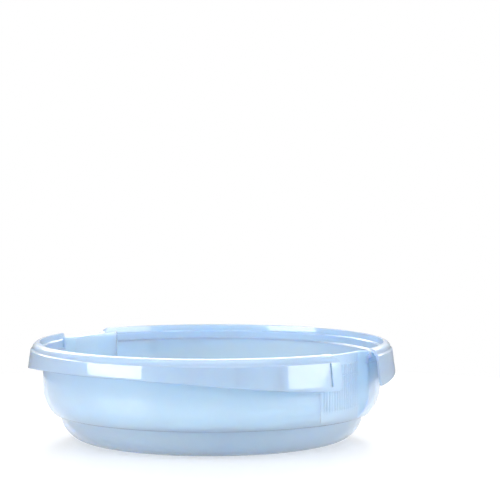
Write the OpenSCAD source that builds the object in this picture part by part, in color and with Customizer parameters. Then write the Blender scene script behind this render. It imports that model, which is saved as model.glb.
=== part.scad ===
// Open base of a microwave steam steriliser for feeding bottles: a round translucent bowl with
// two finger grips, and the lift-out rack that holds the bottles above the water.
// Origin: centre of the underside. The grips lie on the X axis, +Z is up.

/* [Bowl] */
// Height from the table to the crest of the rim
bowl_h = 77.8; // [70:0.1:90]
// Outer radius of the upright wall
wall_r = 134; // [128:1:140]
// Moulded wall thickness
wall_t = 2.2; // [1.6:0.1:3]
// Radius of the curve at the foot of the upright wall
belly_r = 32; // [28:1:36]
// Outer radius of the water reservoir under the ledge
reservoir_r = 120.2; // [118:0.2:121]
// Height of the ledge that carries the rack
ledge_z = 23.6; // [22:0.2:26]

/* [Rim] */
// Radius of the crest of the rim
crest_r = 137.3; // [137:0.1:138]
// Radius of the round over the crest
lip_round = 5; // [4:0.5:5.5]
// Depth of the downturned skirt below the crest, along the sides
skirt_depth = 16.1; // [14:0.1:20]
// Depth of the skirt below the crest, at the end pad
skirt_pad = 28; // [24:0.5:30]
// Depth of the skirt below the crest, at the plain end
skirt_plain = 29.6; // [24:0.1:30]
// Width of the slit near one end of each rim half
slit_w = 2; // [1:0.5:3]
// Height of the slit
slit_h = 18; // [12:1:18]

/* [Grips] */
// Radius of the grip wall, set back from the upright wall
grip_r = 127; // [125:0.5:129]
// Half the angle of the grip wall
grip_half = 11.3; // [9:0.1:12]
// Height of the free edge of the grip wall
grip_top = 75.2; // [72:0.2:76]
// Distance between the centres of the grip ribs
rib_pitch = 3; // [2.5:0.5:5]

/* [Rack] */
// Outer radius of the rack plate
rack_r = 121; // [119.5:0.5:122]
// Thickness of the rack plate
rack_t = 2.2; // [1.6:0.2:3]
// Number of bottle places
bottles = 6; // [4:1:6]
// Radius of the circle through the bottle centres
bottle_ring = 78; // [76:1:80]
// Radius of a bottle with room to spare
bottle_r = 33; // [28:1:34]
// Height of the pegs round each bottle
peg_h = 16; // [10:1:20]
// Height of the lifting handle above the rack plate
handle_h = 24; // [20:1:26]

/* [Hidden] */
$fn = 96;
fine = 8;                           // steps along each quarter of a profile curve
edge_steps = 14;                    // steps along half of the skirt's lower edge
big = 200;                          // longer than any cut needs

foot_round = 22.4;                  // outer radius of the curve between underside and reservoir wall
foot_r = reservoir_r - foot_round;  // outer edge of the flat underside
corner_seam = -45;                  // angle at which the corner meets the reservoir's wall
foot_w = 9;                         // width of the standing ring
foot_lift = 1;                      // how far the middle of the underside clears the table
belly_z = 43.5;                     // height at which the upright wall starts to curve in
belly_x = wall_r - belly_r;         // radius of the belly curve's centre
under_ledge_z = 20.6;               // underside of the ledge where it meets the reservoir wall
step_z = 22;                        // lowest point of the belly
seam_angle = 14.6;                  // where the grip nodes meet the bowl walls
wall_top = 66;                      // top of the upright wall, where the rim starts
wall_in = wall_r - wall_t;          // inner radius of the upright wall
seat_z = bowl_h - 5.2;              // seat for the lid
seat_r = 136;                       // outer radius of the lid seat
lip_z = bowl_h - lip_round;         // height of the lip round's centre
under_lip = 3.1;                    // radius of the hollow under the lip
skirt_t = 1.9;                      // thickness of the skirt
skirt_top_r = 143.6;                // outer radius at the top of the skirt
skirt_flare = 0.14;                 // how much the skirt widens for each millimetre down
skirt_low = bowl_h - skirt_plain;   // lowest point of the skirt
skirt_low_r = skirt_top_r + (seat_z - skirt_low) * skirt_flare;
plain_end = 11.3;                   // angle from the grip's centre to the plain end of a rim half
pad_end = 9.3;                      // angle from the grip's centre to the padded end
slit_angle = 13.4;                  // angle from the grip's centre to the slit
slit_z = 54;                        // height of the slit's lower end
slit_cut = 12;                      // depth of the slit's cut, more than the skirt's thickness
skirt_end = 143;                    // distance along X at which the skirt is deepest
pad_drop = 3;                       // how far the end pad lies below the crest
pad_angle = 10.8;                   // where the crest stops before the end pad
pad_power = 2.5;                    // how late the skirt deepens towards the end pad
plain_power = 3.5;                  // how late the skirt deepens towards the plain end
rib_r = 0.6;                        // radius of one grip rib
grip_block = 12;                    // depth of the block that the grip wall is cut from
ribs = 2 * floor(grip_r * sin(grip_half) / rib_pitch) + 1;
rib_z = [31, 68];                   // lower and upper end of the ribs
gusset_angles = [30.4, 43.7, 57.7]; // places of the stiffening ribs, from the padded end's grip
gusset_t = 1.4;                     // thickness of a stiffening rib
slot_rows = [36, 108];              // radii at which the steam slots start
slot_size = [9, 3];                 // length and width of one steam slot
place_slot = 28;                    // length of the slots under each bottle
peg_t = 2.4;                        // thickness of a bottle peg
peg_span = 34;                      // angle that a peg covers round its bottle
edge_h = 5;                         // height of the rack's raised edge
handle_w = 76;                      // width of the lifting handle
handle_t = 7;                       // thickness of the handle's posts and bar
handle_depth = 12;                  // depth of the handle, front to back

blue = [0.66, 0.82, 0.95, 0.6];
white = [0.95, 0.96, 0.97];

// Points on a circular arc from angle a0 to a1
function arc(x, y, r, a0, a1, n = fine) =
    [for (i = [0:n]) let (a = a0 + (a1 - a0) * i / n) [x + r * cos(a), y + r * sin(a)]];

// Angle below the horizontal at which an arc of radius r reaches a drop
function dip(drop, r) = -asin(drop / r);

// Wedge of a plan sector from angle a0 to a1, standing on height z0
module sector(a0, a1, z0, z1) {
    translate([0, 0, z0]) linear_extrude(z1 - z0)
        polygon(concat([[0, 0]], arc(0, 0, big, a0, a1)));
}

function belly_outer() = arc(belly_x, belly_z, belly_r, dip(belly_z - step_z, belly_r), 0);
function belly_inner() =
    arc(belly_x, belly_z, belly_r - wall_t, dip(belly_z - ledge_z, belly_r - wall_t), 0);
function reverse(v) = [for (i = [len(v) - 1:-1:0]) v[i]];

module floor_pan() {
    in_r = foot_r - foot_w;
    color(blue) rotate_extrude() polygon([[0, foot_lift], [in_r - foot_lift, foot_lift], [in_r, 0],
        [foot_r, 0], [foot_r, wall_t], [in_r, wall_t],
        [in_r - foot_lift, wall_t + foot_lift], [0, wall_t + foot_lift]]);
}

// Rounded corner between the underside and the reservoir's wall
module reservoir_corner() {
    color(blue) rotate_extrude() polygon(concat(
        arc(foot_r, foot_round, foot_round - wall_t, corner_seam, -90),
        arc(foot_r, foot_round, foot_round, -90, corner_seam)));
}

// Upper part of the reservoir's wall, with the ledge that carries the rack
module reservoir_wall() {
    color(blue) rotate_extrude() polygon(concat(
        [belly_outer()[0], belly_inner()[0], [reservoir_r - wall_t, ledge_z]],
        arc(foot_r, foot_round, foot_round - wall_t, 0, corner_seam),
        arc(foot_r, foot_round, foot_round, corner_seam, dip(foot_round - under_ledge_z, foot_round))));
}

module bowl_wall(a0) {
    color(blue) rotate([0, 0, a0]) rotate_extrude(angle = 180 - 2 * seam_angle)
        polygon(concat(belly_outer(), [[wall_r, wall_top], [wall_in, wall_top]], reverse(belly_inner())));
}
module bowl_wall_front() bowl_wall(180 + seam_angle);
module bowl_wall_rear() bowl_wall(seam_angle);

// Space that a grip pushes into the bowl, seen from above; its flanks splay outwards
module grip_space(r, half) {
    splay = 39.5;
    corner = r * [cos(half), sin(half)];
    far = corner + 40 * [sin(splay), cos(splay)];
    linear_extrude(big) polygon(concat(arc(0, 0, r, -half, half), [far, [far[0], -far[1]]]));
}

// Wall of the right grip: the bowl wall, pushed in to grip_r and ribbed on the outside
module grip_shell() {
    inner_half = grip_half + 0.5;
    intersection() {
        difference() {
            rotate_extrude() polygon(concat(belly_outer(), [[wall_r, grip_top],
                [wall_r - grip_block, grip_top], [wall_r - grip_block, ledge_z + 3], belly_inner()[0]]));
            grip_space(grip_r, grip_half);
            difference() {
                rotate_extrude() polygon(concat([[wall_r - 30, ledge_z]], belly_inner(),
                    [[wall_in, grip_top + 1], [wall_r - 30, grip_top + 1]]));
                grip_space(grip_r - wall_t, inner_half);
            }
            rotate_extrude() polygon([[wall_in, wall_top], [wall_in + 20, wall_top],
                [wall_in + 20, grip_top + 1], [wall_in, grip_top + 1]]);
        }
        sector(-seam_angle, seam_angle, 0, bowl_h);
    }
    for (i = [0:ribs - 1]) {
        y = (i - (ribs - 1) / 2) * rib_pitch;
        translate([sqrt(grip_r * grip_r - y * y), y, rib_z[0]])
            cylinder(r = rib_r, h = rib_z[1] - rib_z[0], $fn = 16);
    }
}
module grip_right() color(blue) grip_shell();
module grip_left() color(blue) rotate([0, 0, 180]) grip_shell();

// Section of the rim: lid seat, rounded lip and the skirt at its full depth
function rim_section() = concat(
    [[wall_in, wall_top], [wall_r - 0.4, wall_top + 0.6], [wall_r - 0.2, seat_z], [seat_r, seat_z]],
    arc(crest_r, lip_z, lip_round, 98, 6),
    [[skirt_top_r, lip_z - 0.4], [skirt_low_r, skirt_low], [skirt_low_r - skirt_t, skirt_low]],
    arc(crest_r, lip_z, under_lip, 0, 75, 4),
    [[crest_r + 0.8, seat_z - 2.2], [seat_r - 0.3, seat_z - 2.4], [seat_r - 0.3, wall_top]]);

// Radius of the skirt's inner face at a height
function skirt_inner(z) = let (top_r = crest_r + under_lip)
    top_r + (skirt_low_r - skirt_t - top_r) * (lip_z - z) / (lip_z - skirt_low);

// Height of the skirt's lower edge at a distance along X: level at the side, deepest at the grips
function skirt_edge(x) = bowl_h - skirt_depth
    - (x > 0 ? (skirt_pad - skirt_depth) * pow(x / skirt_end, pad_power)
             : (skirt_plain - skirt_depth) * pow(-x / skirt_end, plain_power));

// Front half of the rim, from the left grip's plain end to the right grip's padded end
module rim_half() {
    first = 180 + plain_end;
    span = 180 - plain_end - pad_end;
    far = skirt_end + 5;
    difference() {
        rotate([0, 0, first]) rotate_extrude(angle = span) polygon(rim_section());
        rotate([90, 0, 0]) linear_extrude(big) polygon(concat([[far, 0], [-far, 0]],
            [for (i = [-edge_steps:edge_steps]) let (x = far * i / edge_steps) [x, skirt_edge(x)]]));
        // the slit beside the end pad
        rotate([0, 0, -slit_angle]) translate([crest_r + under_lip, -slit_w / 2, slit_z])
            cube([slit_cut, slit_w, slit_h]);
        // the crest stops before the end pad
        sector(-pad_angle, 0, bowl_h - pad_drop, bowl_h + 1);
    }
    // webs that tie the ends of the rim to the flanks of the grips
    for (ends = [[180 + plain_end, 180 + seam_angle], [-seam_angle, -pad_end]])
        intersection() {
            rotate_extrude() polygon([[grip_r - 2, seat_z - 2.2], [wall_r - 0.25, seat_z - 2.2],
                [wall_r - 0.2, seat_z], [grip_r - 2, seat_z]]);
            sector(ends[0], ends[1], 0, bowl_h);
            union() {
                grip_space(grip_r, grip_half);
                rotate([0, 0, 180]) grip_space(grip_r, grip_half);
            }
        }
}
module rim_front() color(blue) rim_half();
module rim_rear() color(blue) rotate([0, 0, 180]) rim_half();

// Stiffening ribs between the wall and the skirt, three on each half
module rim_gussets() {
    top = seat_z - 2.6;
    in_r = seat_r - 0.3;
    color(blue) for (turn = [0, 180], a = gusset_angles) {
        low = skirt_edge(skirt_top_r * cos(a)) + 1.5;
        rotate([90, 0, turn - a]) translate([0, 0, -gusset_t / 2]) linear_extrude(gusset_t)
            polygon([[wall_r, low], [skirt_inner(low), low], [skirt_inner(top), top], [in_r + 2, top],
                [in_r + 2, seat_z - 3], [in_r, seat_z - 3], [in_r, wall_top], [wall_r, wall_top]]);
    }
}

module rack_plate() {
    color(white) difference() {
        translate([0, 0, ledge_z]) cylinder(r = rack_r, h = rack_t);
        for (row = slot_rows, i = [0:23]) rotate([0, 0, i * 15 + 7.5])
            translate([row, -slot_size[1] / 2, ledge_z - 1]) cube([slot_size[0], slot_size[1], rack_t + 2]);
        for (i = [0:bottles - 1], j = [-1:1]) rotate([0, 0, (i + 0.5) * 360 / bottles])
            translate([bottle_ring - place_slot / 2, j * 9 - slot_size[1] / 2, ledge_z - 1])
                cube([place_slot, slot_size[1], rack_t + 2]);
    }
}

module rack_edge() {
    color(white) translate([0, 0, ledge_z + rack_t]) difference() {
        cylinder(r = rack_r, h = edge_h);
        translate([0, 0, -1]) cylinder(r = rack_r - wall_t, h = edge_h + 2);
    }
}

// Three curved pegs hold each bottle: two on the outside and one towards the middle
module bottle_pegs() {
    color(white) for (i = [0:bottles - 1], side = [50, -50, 180])
        rotate([0, 0, (i + 0.5) * 360 / bottles]) translate([bottle_ring, 0, ledge_z + rack_t])
            rotate([0, 0, side - peg_span / 2]) rotate_extrude(angle = peg_span)
                translate([bottle_r, 0]) square([peg_t, peg_h]);
}

module rack_handle() {
    color(white) translate([0, handle_depth / 2, ledge_z + rack_t])
        rotate([90, 0, 0]) linear_extrude(handle_depth) difference() {
            translate([-handle_w / 2, 0]) square([handle_w, handle_h]);
            translate([handle_t - handle_w / 2, -1])
                square([handle_w - 2 * handle_t, handle_h - handle_t + 1]);
        }
}

floor_pan();
reservoir_corner();
reservoir_wall();
bowl_wall_front();
bowl_wall_rear();
grip_right();
grip_left();
rim_front();
rim_rear();
rim_gussets();
rack_plate();
rack_edge();
bottle_pegs();
rack_handle();
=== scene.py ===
# %% [markdown]
# # Bottle steriliser base, moulded in translucent polypropylene
# The real object is the open base of a microwave steam steriliser: one thin-walled bowl, injection
# moulded in light blue polypropylene, and a loose white rack inside it that keeps the bottles above
# the water. The frame brings every size. This lesson builds the visible surfaces around it: sections
# that are swept round the bowl's axis, with real wall thickness, so that light passes through them
# as it does through the real plastic.

import math

import bmesh
import bpy
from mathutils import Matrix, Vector


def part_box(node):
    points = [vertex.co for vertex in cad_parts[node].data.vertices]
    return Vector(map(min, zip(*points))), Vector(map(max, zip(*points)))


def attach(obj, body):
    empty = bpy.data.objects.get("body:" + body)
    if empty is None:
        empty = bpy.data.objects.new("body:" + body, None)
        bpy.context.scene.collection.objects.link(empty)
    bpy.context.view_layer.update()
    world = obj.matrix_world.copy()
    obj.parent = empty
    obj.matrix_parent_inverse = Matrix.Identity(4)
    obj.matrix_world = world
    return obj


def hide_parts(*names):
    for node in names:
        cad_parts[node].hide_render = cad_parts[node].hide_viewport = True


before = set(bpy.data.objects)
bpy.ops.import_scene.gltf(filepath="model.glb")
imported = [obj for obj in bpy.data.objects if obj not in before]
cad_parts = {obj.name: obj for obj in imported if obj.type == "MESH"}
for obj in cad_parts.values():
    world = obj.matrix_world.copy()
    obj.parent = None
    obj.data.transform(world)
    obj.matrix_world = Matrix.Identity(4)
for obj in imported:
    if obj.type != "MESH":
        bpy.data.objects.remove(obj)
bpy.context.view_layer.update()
MM = 0.001


# %% [markdown]
# ## Sizes taken from the frame
# Every radius and height below is read from the boxes of the CAD nodes, in millimetres, so the visible
# surfaces cannot drift away from the design. Only small mouldings, such as edge rounds, are stated here.

# %% Driving sizes
def box_mm(node):
    """Lowest and highest corner of a node, in millimetres."""
    low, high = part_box(node)
    return low / MM, high / MM


CREST_Z = box_mm("rim_front")[1].z
SKIRT_LOW = box_mm("rim_front")[0].z
WALL_R = -box_mm("bowl_wall_front")[0].y
WALL_TOP = box_mm("bowl_wall_front")[1].z
STEP_Z = box_mm("bowl_wall_front")[0].z
LEDGE_Z = box_mm("reservoir_wall")[1].z
FOOT_R = box_mm("floor_pan")[1].x
GRIP_TOP = box_mm("grip_right")[1].z
WALL_T = 2.2
print(f"bowl {2 * WALL_R:.0f} mm across its wall, {CREST_Z:.0f} mm high, foot {2 * FOOT_R:.0f} mm across")

# %% [markdown]
# ## The camera
# A long lens a little above the rim, as for a product picture: far enough away that the round rim is
# seen as a narrow ellipse. The two grips lie on the X axis, and the view comes from the front right,
# so one grip faces the lens and the other lies beyond.

# %% Place the camera
VIEW_AZIMUTH = math.radians(38.5)
DISTANCE = 1750 * MM
LENS_HEIGHT = 254.6 * MM
LENS_LENGTH, SENSOR_WIDTH = 158.8, 36
TURN = math.radians(1.0)
DIP = math.radians(3.31)

camera_data = bpy.data.cameras.new("camera")
camera = bpy.data.objects.new("camera", camera_data)
bpy.context.scene.collection.objects.link(camera)
bpy.context.scene.camera = camera
camera_data.sensor_width = SENSOR_WIDTH
camera_data.lens = LENS_LENGTH
camera.location = (DISTANCE * math.sin(VIEW_AZIMUTH), -DISTANCE * math.cos(VIEW_AZIMUTH), LENS_HEIGHT)
camera.rotation_euler = (math.pi / 2 - DIP, 0, VIEW_AZIMUTH - TURN)
print("camera at", tuple(round(v, 3) for v in camera.location))


# %% [markdown]
# ## Helpers for colour and nodes
# Colours are written as sRGB hex values, as a designer would pick them, and turned to linear light
# once. Node trees are built by one helper that adds a node, sets it and links it.

# %% Colour and node helpers
def linear(hex_colour):
    """Linear RGBA from an sRGB hex colour."""
    values = [int(hex_colour[i:i + 2], 16) / 255 for i in (1, 3, 5)]
    return [v / 12.92 if v <= 0.04045 else ((v + 0.055) / 1.055) ** 2.4 for v in values] + [1.0]


def add(tree, kind, inputs=None, **settings):
    """Add a node; inputs maps a socket's name or number to a value or to another node's output."""
    node = tree.nodes.new(kind)
    for name, value in settings.items():
        setattr(node, name, value)
    for name, value in (inputs or {}).items():
        if isinstance(value, bpy.types.NodeSocket):
            tree.links.new(value, node.inputs[name])
        else:
            node.inputs[name].default_value = value
    return node


def colour_mix(tree, factor, first, second):
    """The colour output of a node that mixes two hex colours by a factor."""
    colours = {"Factor": factor, 6: linear(first), 7: linear(second)}
    mix = add(tree, "ShaderNodeMix", colours, data_type="RGBA")
    return mix.outputs[2]


def new_material(name):
    """An empty material with its node tree and output."""
    material = bpy.data.materials.new(name)
    material.use_nodes = True
    tree = material.node_tree
    tree.nodes.clear()
    return material, tree, tree.nodes.new("ShaderNodeOutputMaterial")


# %% [markdown]
# ## Translucent polypropylene
# Polypropylene is a milky plastic: it lets light through but scatters it, so what lies behind a wall
# shows only as a soft paler or darker patch. The pigment is an absorbing volume inside the wall, so
# the blue grows deeper with the plastic the light has crossed: pale at a single wall, stronger along
# the rim's edges and where two walls overlap. The skin is rough transmission mixed with scattering,
# under a smooth coat for the polish of the mould, with a faint unevenness from the flow of the melt.

# %% Moulded blue polypropylene
def translucent_polypropylene():
    """Light blue plastic: a scattering skin round an absorbing pigment."""
    material, tree, output = new_material("moulded_blue_polypropylene")
    place = add(tree, "ShaderNodeTexCoord").outputs["Object"]
    flow = add(tree, "ShaderNodeTexNoise", {"Vector": place, "Scale": 22.0, "Detail": 3.0})
    tint = colour_mix(tree, flow.outputs["Fac"], "#d6e9fa", "#e0f1fc")
    ripple = add(tree, "ShaderNodeTexNoise", {"Vector": place, "Scale": 70.0, "Detail": 2.0})
    bump = add(tree, "ShaderNodeBump", {"Height": ripple.outputs["Fac"], "Strength": 0.1, "Distance": 0.0004})
    shader = add(tree, "ShaderNodeBsdfPrincipled", {
        "Base Color": tint, "Roughness": 0.45, "IOR": 1.33, "Transmission Weight": 0.62,
        "Subsurface Weight": 1.0, "Subsurface Radius": (0.0035, 0.0045, 0.0055), "Subsurface Scale": 1.0,
        "Coat Weight": 0.7, "Coat Roughness": 0.05, "Coat IOR": 1.5,
        "Normal": bump.outputs["Normal"], "Coat Normal": bump.outputs["Normal"]})
    pigment = add(tree, "ShaderNodeVolumeAbsorption", {"Color": linear("#72c4fa"), "Density": 160.0})
    tree.links.new(shader.outputs[0], output.inputs["Surface"])
    tree.links.new(pigment.outputs[0], output.inputs["Volume"])
    return material


blue_plastic = translucent_polypropylene()
print("material:", blue_plastic.name)


# %% [markdown]
# ## Natural white polypropylene
# The rack is the same plastic without pigment: a milky white with a satin skin.

# %% Moulded white polypropylene
def white_polypropylene():
    """Milky white plastic with a satin skin."""
    material, tree, output = new_material("moulded_white_polypropylene")
    place = add(tree, "ShaderNodeTexCoord").outputs["Object"]
    grain = add(tree, "ShaderNodeTexNoise", {"Vector": place, "Scale": 400.0, "Detail": 3.0})
    clouds = add(tree, "ShaderNodeTexNoise", {"Vector": place, "Scale": 18.0, "Detail": 2.0})
    tint = colour_mix(tree, clouds.outputs["Fac"], "#f0f3f5", "#f7f9fa")
    bump = add(tree, "ShaderNodeBump", {"Height": grain.outputs["Fac"], "Strength": 0.08, "Distance": 0.0002})
    shader = add(tree, "ShaderNodeBsdfPrincipled", {
        "Base Color": tint, "Roughness": 0.42, "IOR": 1.49, "Transmission Weight": 0.8,
        "Subsurface Weight": 1.0, "Subsurface Radius": (0.004, 0.004, 0.004), "Subsurface Scale": 1.0,
        "Normal": bump.outputs["Normal"]})
    tree.links.new(shader.outputs[0], output.inputs["Surface"])
    return material


white_plastic = white_polypropylene()
print("material:", white_plastic.name)


# %% [markdown]
# ## Outlines as arcs
# A moulding's section is a chain of arcs and straight stretches. One function gives the points of an
# arc, and the sections are put together from it.

# %% Section helpers
SHARP_EDGE = 35


def arc(x, z, radius, start, end, steps):
    """Points on an arc round (x, z), from angle start to angle end in degrees."""
    angles = [math.radians(start + (end - start) * i / steps) for i in range(steps + 1)]
    return [(x + radius * math.cos(a), z + radius * math.sin(a)) for a in angles]


def blend_low(a, b, width):
    """The lower of two values, with a round of about that width where they meet."""
    gap = max(width - abs(a - b), 0) / width
    return min(a, b) - gap * gap * width / 4


def finish_mesh(name, verts, faces, material, body, nodes):
    """Turn millimetre points and faces into an object that rides on a body and stands for CAD nodes."""
    mesh = bpy.data.meshes.new(name)
    mesh.from_pydata([Vector(v) * MM for v in verts], [], faces)
    work = bmesh.new()
    work.from_mesh(mesh)
    bmesh.ops.remove_doubles(work, verts=work.verts, dist=1e-7)
    bmesh.ops.recalc_face_normals(work, faces=work.faces)
    work.to_mesh(mesh)
    work.free()
    piece = bpy.data.objects.new(name, mesh)
    bpy.context.scene.collection.objects.link(piece)
    mesh.materials.append(material)
    smooth(piece, SHARP_EDGE)
    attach(piece, body)
    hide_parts(*nodes)
    print(f"{name}: {len(mesh.vertices)} points, {len(mesh.polygons)} faces")
    return piece


def smooth(piece, sharp):
    """Smooth shading, with edges sharper than the given angle kept crisp."""
    mesh = piece.data
    mesh.polygons.foreach_set("use_smooth", [True] * len(mesh.polygons))
    work = bmesh.new()
    work.from_mesh(mesh)
    for edge in work.edges:
        edge.smooth = len(edge.link_faces) == 2 and edge.calc_face_angle(0) < math.radians(sharp)
    work.to_mesh(mesh)
    work.free()


# %% [markdown]
# ## The grips
# At both ends of the X axis the wall is pushed in, so that fingers can take hold under the rim. Seen
# from above, the pushed-in wall is an arc with two splayed flanks. Its radius is worked out for every
# direction, and the bowl's own radius then gives way to it with a small round.

# %% Radius of the grip space
GRIP_R = 127.0
GRIP_HALF = 11.3
GRIP_REACH = 25
SPLAY = math.radians(39.5)
WALL_ROUND = 1.2
NO_WALL = 1e3


def from_grip(angle):
    """Signed angle in degrees from the nearest grip's centre, for a direction in degrees."""
    return (angle + 90) % 180 - 90


def grip_radius(angle, radius, half):
    """Distance from the axis to the pushed-in wall, large where there is none."""
    off = abs(from_grip(angle))
    a = math.radians(off)
    corner = Vector((radius * math.cos(math.radians(half)), radius * math.sin(math.radians(half))))
    along = Vector((math.sin(SPLAY), math.cos(SPLAY)))
    ray = Vector((math.cos(a), math.sin(a)))
    turn = ray.x * along.y - ray.y * along.x
    if off > GRIP_REACH or turn < 0.02:
        return NO_WALL
    travel = -(ray.x * corner.y - ray.y * corner.x) / turn
    flank = (corner + along * travel).length if travel > -3 else 0
    return -blend_low(-radius, -flank, WALL_ROUND)


print("grip wall at 0, 12, 14 degrees:", [round(grip_radius(a, GRIP_R, GRIP_HALF), 1) for a in (0, 12, 14)])

# %% [markdown]
# ## The bowl
# From below: a flat standing ring, the round corner of the water reservoir, the ledge for the rack and
# the round belly under the upright wall. The inside follows one wall thickness further in. Sweeping
# the whole section round the axis gives one closed skin, as the real moulding has, without seams.

# %% Section of the bowl
FOOT_ROUND, FOOT_RING = 22.4, 9.0
RESERVOIR_R = FOOT_R + FOOT_ROUND
BELLY_R, BELLY_Z = 32.0, 43.5
BELLY_X = WALL_R - BELLY_R
RING_IN = FOOT_R - FOOT_RING


def dip_angle(drop, radius):
    """Angle below the horizontal, in degrees, at which an arc has dropped that far."""
    return -math.degrees(math.asin(drop / radius))


outside = [(0.0, 0.5), (2.0, 0.5), (2.6, 0.7), (3.0, 1.0), (40.0, 1.0), (RING_IN - 3, 1.0),
           (RING_IN - 1.8, 0.9), (RING_IN - 0.6, 0.2), (RING_IN, 0.0), (FOOT_R - 4.5, 0.0)]
outside += arc(FOOT_R, FOOT_ROUND, FOOT_ROUND, -90, dip_angle(FOOT_ROUND - 20.0, FOOT_ROUND), 16)
outside += arc(RESERVOIR_R + 1.4, 19.9, 1.5, 170, 105, 4)
outside += [(RESERVOIR_R + 3.6, 21.6)]
outside += arc(BELLY_X, BELLY_Z, BELLY_R, dip_angle(BELLY_Z - STEP_Z - 0.3, BELLY_R), 0, 20)

ledge_in = RESERVOIR_R - WALL_T
inside = arc(BELLY_X, BELLY_Z, BELLY_R - WALL_T, 0, dip_angle(BELLY_Z - LEDGE_Z - 0.4, BELLY_R - WALL_T), 20)
inside += [(ledge_in + 6, LEDGE_Z), (ledge_in + 3, LEDGE_Z), (ledge_in + 0.7, LEDGE_Z),
           (ledge_in + 0.1, LEDGE_Z - 0.5)]
inside += arc(FOOT_R, FOOT_ROUND, FOOT_ROUND - WALL_T, 0, -90, 14)
inside += [(RING_IN + 2, WALL_T), (RING_IN - 0.2, WALL_T + 0.1), (RING_IN - 1.4, WALL_T + 0.9),
           (RING_IN - 3.3, WALL_T + 1.0), (60.0, WALL_T + 1.0), (30.0, WALL_T + 1.0), (0.0, WALL_T + 1.0)]
print(len(outside), "points outside,", len(inside), "points inside")


# %% Sweep the bowl
RIB_R, RIB_PITCH, RIB_LOW, RIB_HIGH = 0.65, 3.0, 31.0, 68.0
RIB_MARGIN, RIB_RUN_LOW, RIB_RUN_HIGH = 0.6, 1.5, 1.0
GROOVE_LOW, GROOVE_HIGH, GROOVE_DEPTH = 58.4, 59.0, 0.35
FREE_EDGE_HALF = 14.3
GRIP_STEP, PLAIN_STEP, FINE_SPAN = 0.2, 1.5, 17


def directions(first, last, fine_step, wide_step, near):
    """Directions in degrees from first to last, close together near the grips."""
    found = [first]
    while found[-1] < last - 1e-6:
        step = fine_step if abs(from_grip(found[-1] + 1e-3)) < near else wide_step
        found.append(min(found[-1] + step, last))
    return found


def rib_height(angle, z):
    """How far a grip rib, or the groove across the grip, stands out from the pushed-in wall."""
    off = from_grip(angle)
    if abs(off) > GRIP_HALF - RIB_MARGIN:
        return 0
    across = GRIP_R * math.radians(off) / RIB_PITCH
    ridge = max(math.cos(2 * math.pi * across), 0) * RIB_R
    ends = max(min((z - RIB_LOW) / RIB_RUN_LOW, (RIB_HIGH - z) / RIB_RUN_HIGH, 1), 0)
    groove = GROOVE_DEPTH if GROOVE_LOW < z < GROOVE_HIGH else 0
    return ridge * ends - groove


def bowl_column(angle):
    """The bowl's closed section in one direction, with a round edge where no rim covers it."""
    outer_limit = grip_radius(angle, GRIP_R, GRIP_HALF)
    inner_limit = grip_radius(angle, GRIP_R - WALL_T, GRIP_HALF + 0.5)
    free_edge = abs(from_grip(angle)) < FREE_EDGE_HALF
    top = GRIP_TOP if free_edge else WALL_TOP - 0.02
    column = [(blend_low(r, outer_limit, WALL_ROUND), z) if z > STEP_Z else (r, z) for r, z in outside]
    r_out = blend_low(WALL_R, outer_limit, WALL_ROUND)
    r_in = blend_low(WALL_R - WALL_T, inner_limit, WALL_ROUND)
    side = [46.0, 50.0, 54.0, 57.6, 58.2, 58.5, 58.9, 59.2, 62.0, 66.5, RIB_HIGH - 1.0, RIB_HIGH, top]
    side = [min(z, top - 1) for z in side]
    column += [(r_out, z) for z in side]
    column = [(r + rib_height(angle, z) if r > GRIP_R - 1.5 else r, z) for r, z in column]
    mid, half = (r_out + r_in) / 2, (r_out - r_in) / 2
    if free_edge:
        column += [(mid + half * math.cos(a), top - 1 + math.sin(a)) for a in
                   (math.pi / 6, math.pi / 3, math.pi / 2, 2 * math.pi / 3, 5 * math.pi / 6)]
    else:
        column += [(mid + half * share, top) for share in (1.0, 0.5, 0.0, -0.5, -1.0)]
    column += [(r_in, z) for z in reversed(side)]
    column += [(blend_low(r, inner_limit, WALL_ROUND), z) if z > LEDGE_Z else (r, z) for r, z in inside]
    return column


angles = directions(-90, 270, GRIP_STEP, PLAIN_STEP, FINE_SPAN)[:-1]
columns = [bowl_column(a) for a in angles]
rows = len(columns[0])
bowl_verts = [(0, 0, outside[0][1]), (0, 0, inside[-1][1])]
for a, column in zip(angles, columns):
    c, s = math.cos(math.radians(a)), math.sin(math.radians(a))
    bowl_verts += [(r * c, r * s, z) for r, z in column[1:-1]]
bowl_faces = []
inner_rows = rows - 2
for i in range(len(angles)):
    here, there = 2 + i * inner_rows, 2 + (i + 1) % len(angles) * inner_rows
    bowl_faces += [(here + j, there + j, there + j + 1, here + j + 1) for j in range(inner_rows - 1)]
    bowl_faces += [(0, there, here), (1, here + inner_rows - 1, there + inner_rows - 1)]
BOWL_NODES = ["floor_pan", "reservoir_corner", "reservoir_wall", "bowl_wall_front", "bowl_wall_rear",
              "grip_right", "grip_left"]
finish_mesh("bowl_shell", bowl_verts, bowl_faces, blue_plastic, "bowl", BOWL_NODES)

# %% [markdown]
# ## The rim halves
# The rim folds over the wall: a seat for the lid, a rounded lip and a skirt that hangs outside. The
# skirt is level along the side and slopes down towards both grips, gently towards the padded end and
# more steeply towards the plain end. Each half is a section swept through its span, with the section
# changing as it goes, so the thickness stays real everywhere.

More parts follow.
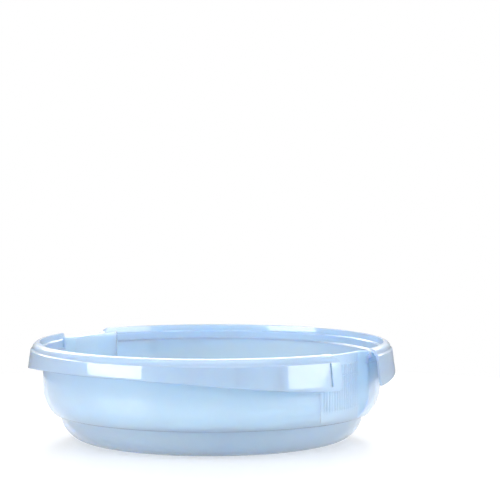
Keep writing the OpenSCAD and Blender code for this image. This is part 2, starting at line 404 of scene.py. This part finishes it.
# %% Section of the rim
PAD_END, PLAIN_END, PAD_ANGLE = 9.3, 11.3, 10.8
SIDE_LOW, PAD_LOW = CREST_Z - 16.1, CREST_Z - 28.0
LIP_X, LIP_ROUND, UNDER_LIP = 137.3, 5.0, 3.1
LIP_Z = CREST_Z - LIP_ROUND
SEAT_Z = CREST_Z - 5.2
SKIRT_T, SKIRT_TOP_R, FLARE = 1.9, 143.6, 0.14
SKIRT_END = 143.0
PAD_SWEEP, PLAIN_SWEEP = 2.5, 3.5
PAD_CORNER, PLAIN_CORNER = 4.5, 1.5
PAD_CREST_CORNER, PLAIN_CREST_CORNER = 3.0, 1.0
PAD_DROP, DROP_SPAN = 3.0, 2.0
RIM_FINE_STEP, RIM_STEP = 0.25, 1.0


def skirt_bottom(angle):
    """Height of the skirt's lower edge, for a direction in the front half."""
    x = SKIRT_TOP_R * math.cos(math.radians(angle))
    if x > 0:
        return SIDE_LOW - (SIDE_LOW - PAD_LOW) * (x / SKIRT_END) ** PAD_SWEEP
    return SIDE_LOW - (SIDE_LOW - SKIRT_LOW) * (-x / SKIRT_END) ** PLAIN_SWEEP


def corner(distance, radius):
    """How far a rounded corner has dropped, at a distance from the end."""
    near = max(radius - distance, 0)
    return radius - math.sqrt(max(radius * radius - near * near, 0))


def rim_column(angle):
    """Closed section of the front rim half in one direction, anticlockwise from the seat's foot."""
    to_pad = (-PAD_END - angle) * math.radians(1) * SKIRT_TOP_R
    to_plain = (angle + 180 - PLAIN_END) * math.radians(1) * SKIRT_TOP_R
    low = skirt_bottom(angle) + corner(to_pad, PAD_CORNER) + corner(to_plain, PLAIN_CORNER)
    lip_end = (PAD_ANGLE - PAD_END) * math.radians(1) * SKIRT_TOP_R
    top = CREST_Z - corner(to_plain, PLAIN_CREST_CORNER) - corner(to_pad, PAD_CREST_CORNER)
    if to_pad < lip_end + DROP_SPAN:
        top -= PAD_DROP * min((lip_end + DROP_SPAN - to_pad) / DROP_SPAN, 1.0) ** 2
    upper = [(131.8, WALL_TOP), (132.2, 66.4), (133.3, 66.8), (133.7, 67.3), (133.8, SEAT_Z - 0.4),
             (134.1, SEAT_Z), (135.6, SEAT_Z), (136.1, SEAT_Z + 0.5), (136.4, LIP_Z + 3.6)]
    upper += arc(LIP_X, LIP_Z, LIP_ROUND, 97, 14, 14)
    upper += [(142.25, LIP_Z + 0.7), (142.5, LIP_Z + 0.3), (142.8, LIP_Z - 0.1)]
    upper = [(r, min(z, top)) for r, z in upper]
    height = LIP_Z - 0.2 - low
    outer = [(SKIRT_TOP_R + FLARE * height * t, LIP_Z - 0.2 - height * t)
             for t in (0.03, 0.1, 0.25, 0.4, 0.55, 0.7, 0.85, 0.96)]
    edge_r = SKIRT_TOP_R + FLARE * height
    edge = [(edge_r - 0.1, low + 0.25), (edge_r - 0.5, low), (edge_r - SKIRT_T + 0.5, low),
            (edge_r - SKIRT_T + 0.1, low + 0.25)]
    inner = [(r - SKIRT_T, z) for r, z in reversed(outer)]
    under = arc(LIP_X, LIP_Z, UNDER_LIP, 0, 75, 5)
    under = [(r, min(z, top - 1.9)) for r, z in under]
    foot = [(138.1, SEAT_Z - 1.9), (137.7, SEAT_Z - 2.3), (136.2, SEAT_Z - 2.5), (135.8, SEAT_Z - 2.9),
            (135.7, 66.3), (135.3, WALL_TOP)]
    return upper + outer + edge + inner + under + foot


def rim_half(name, turn, node):
    """One half of the rim: the front half's sections, turned about the axis by an angle in degrees."""
    spread = directions(-180 + PLAIN_END, -PAD_END, RIM_FINE_STEP, RIM_STEP, FINE_SPAN)
    sections = [rim_column(a) for a in spread]
    count = len(sections[0])
    verts = []
    for a, section in zip(spread, sections):
        c, s = math.cos(math.radians(a + turn)), math.sin(math.radians(a + turn))
        verts += [(r * c, r * s, z) for r, z in section]
    faces = []
    for i in range(len(spread) - 1):
        here, there = i * count, (i + 1) * count
        for j in range(count):
            following = (j + 1) % count
            faces.append((here + j, here + following, there + following, there + j))
    last = (len(spread) - 1) * count
    faces += [tuple(range(count)), tuple(reversed(range(last, last + count)))]
    return finish_mesh(name, verts, faces, blue_plastic, "bowl", [node])


rim_front = rim_half("rim_front_half", 0, "rim_front")
rim_rear = rim_half("rim_rear_half", 180, "rim_rear")


# %% [markdown]
# ## Slits beside the end pads
# A narrow slit with round ends lets the end pad of each rim half flex. It is cut through the skirt with
# a rounded cutter, so the edge of the hole has real depth.

# %% Cut the slits
SLIT_ANGLE, SLIT_W, SLIT_LOW, SLIT_HIGH = 13.4, 2.0, 54.0, 72.0
CUTTER_IN, CUTTER_OUT = 140.3, 150.0


def evaluated_mesh(piece):
    """The piece's mesh with its modifiers applied."""
    graph = bpy.context.evaluated_depsgraph_get()
    return bpy.data.meshes.new_from_object(piece.evaluated_get(graph), depsgraph=graph)


def cut_slit(rim, turn):
    """Cut the slit beside the end pad of one rim half."""
    half_w = SLIT_W / 2
    outline = [(x, z + SLIT_HIGH - half_w) for x, z in arc(0, 0, half_w, 0, 180, 8)]
    outline += [(x, z + SLIT_LOW + half_w) for x, z in arc(0, 0, half_w, 180, 360, 8)]
    a = math.radians(turn - SLIT_ANGLE)
    out, side = Vector((math.cos(a), math.sin(a), 0)), Vector((-math.sin(a), math.cos(a), 0))
    verts = [out * r + side * x + Vector((0, 0, z)) for r in (CUTTER_IN, CUTTER_OUT) for x, z in outline]
    count = len(outline)
    faces = [(i, (i + 1) % count, count + (i + 1) % count, count + i) for i in range(count)]
    faces += [tuple(reversed(range(count))), tuple(range(count, 2 * count))]
    mesh = bpy.data.meshes.new("slit_cutter")
    mesh.from_pydata([v * MM for v in verts], [], faces)
    work = bmesh.new()
    work.from_mesh(mesh)
    bmesh.ops.recalc_face_normals(work, faces=work.faces)
    work.to_mesh(mesh)
    work.free()
    cutter = bpy.data.objects.new("slit_cutter", mesh)
    bpy.context.scene.collection.objects.link(cutter)
    cut = rim.modifiers.new("slit", "BOOLEAN")
    cut.operation, cut.object, cut.solver = "DIFFERENCE", cutter, "EXACT"
    before = len(rim.data.polygons)
    mesh = evaluated_mesh(rim)
    rim.modifiers.remove(cut)
    rim.data = mesh
    bpy.data.objects.remove(cutter)
    smooth(rim, SHARP_EDGE)
    print(rim.name, "faces before and after the slit:", before, len(mesh.polygons))


cut_slit(rim_front, 0)
cut_slit(rim_rear, 180)

# %% [markdown]
# ## Stiffening ribs under the rim
# Three thin ribs on each half tie the skirt to the wall. They show through the milky skirt as soft
# upright lines. Their edges are rounded, as everything that comes out of a mould is.

# %% Ribs
GUSSET_ANGLES, GUSSET_T, GUSSET_BEVEL = (30.4, 43.7, 57.7), 1.4, 0.2


def plate(outline, thickness, place, bevel):
    """Points and faces of an upright plate with chamfered edges, put in place by a function."""
    verts, faces = [], []
    centre = (sum(p[0] for p in outline) / len(outline), sum(p[1] for p in outline) / len(outline))
    half = thickness / 2
    for y, inset in ((-half, bevel), (-half + bevel, 0), (half - bevel, 0), (half, bevel)):
        for x, z in outline:
            d = max(math.hypot(x - centre[0], z - centre[1]), 0.01)
            verts.append(place(x - (x - centre[0]) / d * inset, y, z - (z - centre[1]) / d * inset))
    n = len(outline)
    for k in range(3):
        here, there = k * n, (k + 1) * n
        faces += [(here + i, here + (i + 1) % n, there + (i + 1) % n, there + i) for i in range(n)]
    faces += [tuple(reversed(range(n))), tuple(range(3 * n, 4 * n))]
    return verts, faces


def join_parts(parts):
    """One list of points and faces from several."""
    verts, faces = [], []
    for more_verts, more_faces in parts:
        faces += [tuple(len(verts) + i for i in face) for face in more_faces]
        verts += more_verts
    return verts, faces


def gusset(angle, turn):
    """One rib between wall and skirt; its outer edge reaches a little into the skirt."""
    low = skirt_bottom(-angle) + 1.5
    skirt_in = SKIRT_TOP_R - SKIRT_T + 0.4
    outline = [(WALL_R - 0.2, low), (skirt_in + (SEAT_Z - low) * FLARE, low),
               (skirt_in + 2.4 * FLARE, SEAT_Z - 2.4), (137.7, SEAT_Z - 2.4), (135.7, SEAT_Z - 3.0),
               (WALL_R - 0.2, 66.0)]
    a = math.radians(turn - angle)
    out, side = Vector((math.cos(a), math.sin(a), 0)), Vector((-math.sin(a), math.cos(a), 0))

    def place(x, y, z):
        return tuple(out * x + side * y + Vector((0, 0, z)))

    return plate(outline, GUSSET_T, place, GUSSET_BEVEL)


rib_verts, rib_faces = join_parts([gusset(a, turn) for turn in (0, 180) for a in GUSSET_ANGLES])
finish_mesh("rim_ribs", rib_verts, rib_faces, blue_plastic, "bowl", ["rim_gussets"])

# %% [markdown]
# ## The rack
# The rack's pieces keep the shape of the CAD nodes, but their edges are rounded by a few tenths of a
# millimetre, which is what makes a moulded piece catch the light along its edges.

# %% Rack pieces with soft edges
RACK_SHARP_EDGE, LEAST_BEVEL_ANGLE = 50, 40


def softened(node, name, width):
    """A copy of a CAD node's mesh with rounded edges, standing in for the node."""
    source = bpy.data.objects[node]
    mesh = source.data.copy()
    mesh.transform(source.matrix_world)
    mesh.materials.clear()
    work = bmesh.new()
    work.from_mesh(mesh)
    bmesh.ops.remove_doubles(work, verts=work.verts, dist=1e-6)
    bmesh.ops.dissolve_limit(work, angle_limit=math.radians(0.5), verts=work.verts, edges=work.edges)
    least = math.radians(LEAST_BEVEL_ANGLE)
    edges = [e for e in work.edges if len(e.link_faces) == 2 and e.calc_face_angle(0) > least]
    bmesh.ops.bevel(work, geom=edges, offset=width * MM, segments=2, profile=0.5, affect="EDGES",
                    clamp_overlap=True)
    work.to_mesh(mesh)
    work.free()
    piece = bpy.data.objects.new(name, mesh)
    bpy.context.scene.collection.objects.link(piece)
    mesh.materials.append(white_plastic)
    smooth(piece, RACK_SHARP_EDGE)
    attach(piece, "rack")
    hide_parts(node)
    print(f"{name}: {len(mesh.polygons)} faces")


softened("rack_plate", "rack_plate_moulded", 0.35)
softened("rack_edge", "rack_edge_moulded", 0.5)
softened("bottle_pegs", "bottle_pegs_moulded", 0.6)
softened("rack_handle", "rack_handle_moulded", 1.2)

# %% [markdown]
# ## The studio
# The bowl stands on a white sheet that glows softly, so that light also comes up through the plastic
# from below. Two low boxes at the left and right draw the long highlights on the skirt, a wide light
# from behind shines through the walls, and an overhead light fills the inside of the bowl.

# %% Floor
SHEET_R, SHEET_SIDES, SHEET_DROP = 0.48, 96, 0.0002
floor_mesh = bpy.data.meshes.new("floor")
rim_points = [(x, y, 0) for x, y in arc(0, 0, SHEET_R, 0, 360, SHEET_SIDES)[:-1]]
floor_mesh.from_pydata(rim_points, [], [tuple(range(SHEET_SIDES))])
floor = bpy.data.objects.new("floor", floor_mesh)
bpy.context.scene.collection.objects.link(floor)
floor.location.z = -SHEET_DROP
floor_material, tree, output = new_material("white_acrylic_sheet")
floor_shader = add(tree, "ShaderNodeBsdfPrincipled", {
    "Base Color": linear("#a8a8a8"), "Roughness": 0.3, "IOR": 1.4,
    "Emission Color": linear("#ffffff"), "Emission Strength": 0.46})
tree.links.new(floor_shader.outputs[0], output.inputs["Surface"])
floor_mesh.materials.append(floor_material)


# %% Lights
AIM = Vector((0, 0, 0.05))


def soft_light(name, azimuth, elevation, distance, width, height, power):
    """A rectangular soft light that faces the bowl, placed by azimuth from the camera's side."""
    data = bpy.data.lights.new(name, "AREA")
    data.shape, data.size, data.size_y, data.energy = "RECTANGLE", width, height, power
    light = bpy.data.objects.new(name, data)
    bpy.context.scene.collection.objects.link(light)
    a = VIEW_AZIMUTH + math.radians(azimuth)
    e = math.radians(elevation)
    back = Vector((math.sin(a) * math.cos(e), -math.cos(a) * math.cos(e), math.sin(e)))
    light.location = AIM + back * distance
    light.rotation_mode = "QUATERNION"
    light.rotation_quaternion = back.to_track_quat("Z", "Y")


soft_light("left_box", -61, 11, 1.6, 1.1, 0.3, 14)
soft_light("right_box", 74, 11, 1.6, 1.7, 0.3, 15)
soft_light("backlight", 180, 36, 1.8, 2.4, 0.9, 50)
soft_light("overhead", 0, 60, 1.8, 2.0, 1.2, 20)

# %% [markdown]
# ## White surroundings
# The lens sees pure white behind the bowl. Reflections and the light itself come from a room that is
# darker near the horizon than overhead, which gives the glossy edges their shape.

# %% World
world = bpy.data.worlds.new("white_room")
bpy.context.scene.world = world
world.use_nodes = True
tree = world.node_tree
tree.nodes.clear()
up = add(tree, "ShaderNodeSeparateXYZ", {"Vector": add(tree, "ShaderNodeTexCoord").outputs["Generated"]})
height = add(tree, "ShaderNodeMapRange", {
    "Value": up.outputs["Z"], "From Min": 0.0, "From Max": 0.4, "To Min": 0.3, "To Max": 0.66})
white = linear("#ffffff")
room = add(tree, "ShaderNodeBackground", {"Color": white, "Strength": height.outputs["Result"]})
seen = add(tree, "ShaderNodeBackground", {"Color": white, "Strength": 1.0})
camera_ray = add(tree, "ShaderNodeLightPath").outputs["Is Camera Ray"]
mixed = add(tree, "ShaderNodeMixShader", {0: camera_ray, 1: room.outputs[0], 2: seen.outputs[0]})
add(tree, "ShaderNodeOutputWorld", {"Surface": mixed.outputs[0]})
bpy.context.scene.view_settings.view_transform = "Standard"
